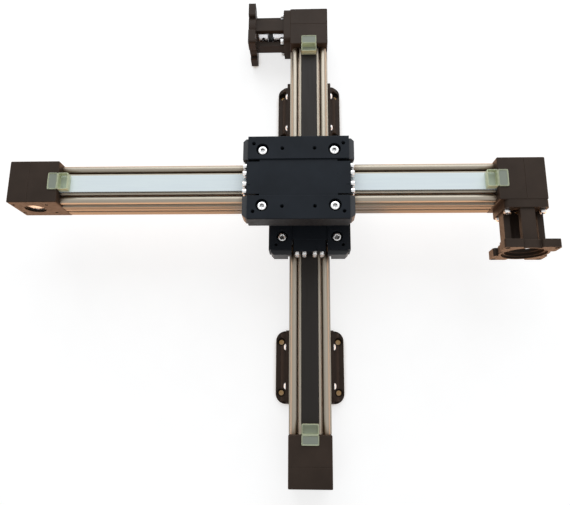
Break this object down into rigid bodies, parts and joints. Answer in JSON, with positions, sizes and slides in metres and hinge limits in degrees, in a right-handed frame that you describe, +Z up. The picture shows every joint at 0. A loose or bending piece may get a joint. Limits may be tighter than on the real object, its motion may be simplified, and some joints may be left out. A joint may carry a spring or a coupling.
{
  "type": "cartesian robot",
  "caption": "Two-axis cartesian robot: a belt-driven roller-guided linear module riding crosswise on the carriage of a second one, with feet, bumpers and motor adapters.",
  "frame": {"origin": "centre of the foot bolt patterns on the mounting plane, below the middle of the lower module", "axes": "+X along the upper module towards its drive end, +Y along the lower module towards its drive end, +Z up to the tool face"},
  "size_m": [0.5563, 0.5562, 0.122],
  "materials": {
    "black_anodised": "satin",
    "natural_anodised": "satin",
    "rail_steel": "polished",
    "screw_steel": "satin",
    "bearing_steel": "polished",
    "black_steel": "satin",
    "pulley_metal": "satin",
    "coupling_metal": "satin",
    "black_belt": "matte",
    "white_belt": "matte",
    "bumper_rubber": "satin",
    "coupling_plastic": "matte",
    "cap_plastic": "satin"
  },
  "bodies": {
    "base": {"lower_profile": "natural_anodised", "lower_rails": "rail_steel", "lower_belt": "black_belt", "lower_idler_housing": "black_anodised", "lower_idler_cover": "black_anodised", "lower_drive_housing": "black_anodised", "lower_drive_cover": "black_anodised", "lower_bearings": "bearing_steel", "lower_circlips": "black_steel", "lower_bumpers": "bumper_rubber", "lower_motor_adapter": "black_anodised", "lower_housing_screws": "screw_steel", "lower_adapter_screws": "screw_steel", "mounting_feet": "black_anodised", "foot_fasteners": "screw_steel"},
    "y_carriage": {"lower_carriage_block": "black_anodised", "lower_wing_left": "black_anodised", "lower_wing_right": "black_anodised", "lower_wing_caps": "cap_plastic", "lower_belt_clamps": "black_anodised", "lower_clamp_screws": "screw_steel", "lower_roller_bolts": "screw_steel", "cross_plate": "black_anodised", "cross_side_clamps": "black_anodised", "cross_screws": "screw_steel", "upper_profile": "natural_anodised", "upper_rails": "rail_steel", "upper_belt": "white_belt", "upper_idler_housing": "black_anodised", "upper_idler_cover": "black_anodised", "upper_drive_housing": "black_anodised", "upper_drive_cover": "black_anodised", "upper_bearings": "bearing_steel", "upper_circlips": "black_steel", "upper_bumpers": "bumper_rubber", "upper_motor_adapter": "black_anodised", "upper_housing_screws": "screw_steel", "upper_adapter_screws": "screw_steel"},
    "x_carriage": {"upper_carriage_block": "black_anodised", "upper_wing_left": "black_anodised", "upper_wing_right": "black_anodised", "upper_wing_caps": "cap_plastic", "upper_belt_clamps": "black_anodised", "upper_clamp_screws": "screw_steel", "upper_roller_bolts": "screw_steel"},
    "lower_idler": {"lower_idler_pulley": "pulley_metal"},
    "lower_drive": {"lower_drive_pulley": "pulley_metal", "lower_coupling_hubs": "coupling_metal", "lower_coupling_disc": "coupling_plastic", "lower_coupling_screws": "black_steel"},
    "upper_idler": {"upper_idler_pulley": "pulley_metal"},
    "upper_drive": {"upper_drive_pulley": "pulley_metal"},
    "lower_roller_1": {"lower_roller_1": "bearing_steel"},
    "lower_roller_2": {"lower_roller_2": "bearing_steel"},
    "lower_roller_3": {"lower_roller_3": "bearing_steel"},
    "lower_roller_4": {"lower_roller_4": "bearing_steel"},
    "upper_roller_1": {"upper_roller_1": "bearing_steel"},
    "upper_roller_2": {"upper_roller_2": "bearing_steel"},
    "upper_roller_3": {"upper_roller_3": "bearing_steel"},
    "upper_roller_4": {"upper_roller_4": "bearing_steel"}
  },
  "joints": [
    {"name": "y_slide", "type": "slide", "parent": "base", "child": "y_carriage", "axis": [0, 1, 0], "range_m": [-0.17, 0.13]},
    {"name": "x_slide", "type": "slide", "parent": "y_carriage", "child": "x_carriage", "axis": [1, 0, 0], "range_m": [-0.17, 0.13]},
    {"name": "lower_idler_turn", "type": "hinge", "parent": "base", "child": "lower_idler", "pos_m": [0, -0.254, 0.0305], "axis": [1, 0, 0], "range_deg": [-540, 700]},
    {"name": "lower_drive_turn", "type": "hinge", "parent": "base", "child": "lower_drive", "pos_m": [0, 0.254, 0.0305], "axis": [1, 0, 0], "range_deg": [-540, 700]},
    {"name": "upper_idler_turn", "type": "hinge", "parent": "y_carriage", "child": "upper_idler", "pos_m": [-0.2916, 0.0295, 0.0915], "axis": [0, 1, 0], "range_deg": [-700, 540]},
    {"name": "upper_drive_turn", "type": "hinge", "parent": "y_carriage", "child": "upper_drive", "pos_m": [0.2164, 0.0295, 0.0915], "axis": [0, 1, 0], "range_deg": [-700, 540]},
    {"name": "lower_roller_1_turn", "type": "hinge", "parent": "y_carriage", "child": "lower_roller_1", "pos_m": [0.0298, -0.0159, 0.04], "axis": [0, 0, 1], "range_deg": [-1100, 840]},
    {"name": "lower_roller_2_turn", "type": "hinge", "parent": "y_carriage", "child": "lower_roller_2", "pos_m": [-0.0298, -0.0159, 0.04], "axis": [0, 0, 1], "range_deg": [-840, 1100]},
    {"name": "lower_roller_3_turn", "type": "hinge", "parent": "y_carriage", "child": "lower_roller_3", "pos_m": [0.0298, 0.0573, 0.04], "axis": [0, 0, 1], "range_deg": [-1100, 840]},
    {"name": "lower_roller_4_turn", "type": "hinge", "parent": "y_carriage", "child": "lower_roller_4", "pos_m": [-0.0298, 0.0573, 0.04], "axis": [0, 0, 1], "range_deg": [-840, 1100]},
    {"name": "upper_roller_1_turn", "type": "hinge", "parent": "x_carriage", "child": "upper_roller_1", "pos_m": [-0.0479, -0.0003, 0.101], "axis": [0, 0, 1], "range_deg": [-1100, 840]},
    {"name": "upper_roller_2_turn", "type": "hinge", "parent": "x_carriage", "child": "upper_roller_2", "pos_m": [-0.0479, 0.0593, 0.101], "axis": [0, 0, 1], "range_deg": [-840, 1100]},
    {"name": "upper_roller_3_turn", "type": "hinge", "parent": "x_carriage", "child": "upper_roller_3", "pos_m": [0.0253, -0.0003, 0.101], "axis": [0, 0, 1], "range_deg": [-1100, 840]},
    {"name": "upper_roller_4_turn", "type": "hinge", "parent": "x_carriage", "child": "upper_roller_4", "pos_m": [0.0253, 0.0593, 0.101], "axis": [0, 0, 1], "range_deg": [-840, 1100]}
  ],
  "couplings": [
    {"joint": "lower_idler_turn", "follows": "y_slide", "rad_per_m": -69.813},
    {"joint": "lower_drive_turn", "follows": "y_slide", "rad_per_m": -69.813},
    {"joint": "upper_idler_turn", "follows": "x_slide", "rad_per_m": 69.813},
    {"joint": "upper_drive_turn", "follows": "x_slide", "rad_per_m": 69.813},
    {"joint": "lower_roller_1_turn", "follows": "y_slide", "rad_per_m": 111.11},
    {"joint": "lower_roller_2_turn", "follows": "y_slide", "rad_per_m": -111.11},
    {"joint": "lower_roller_3_turn", "follows": "y_slide", "rad_per_m": 111.11},
    {"joint": "lower_roller_4_turn", "follows": "y_slide", "rad_per_m": -111.11},
    {"joint": "upper_roller_1_turn", "follows": "x_slide", "rad_per_m": 111.11},
    {"joint": "upper_roller_2_turn", "follows": "x_slide", "rad_per_m": -111.11},
    {"joint": "upper_roller_3_turn", "follows": "x_slide", "rad_per_m": 111.11},
    {"joint": "upper_roller_4_turn", "follows": "x_slide", "rad_per_m": -111.11}
  ]
}
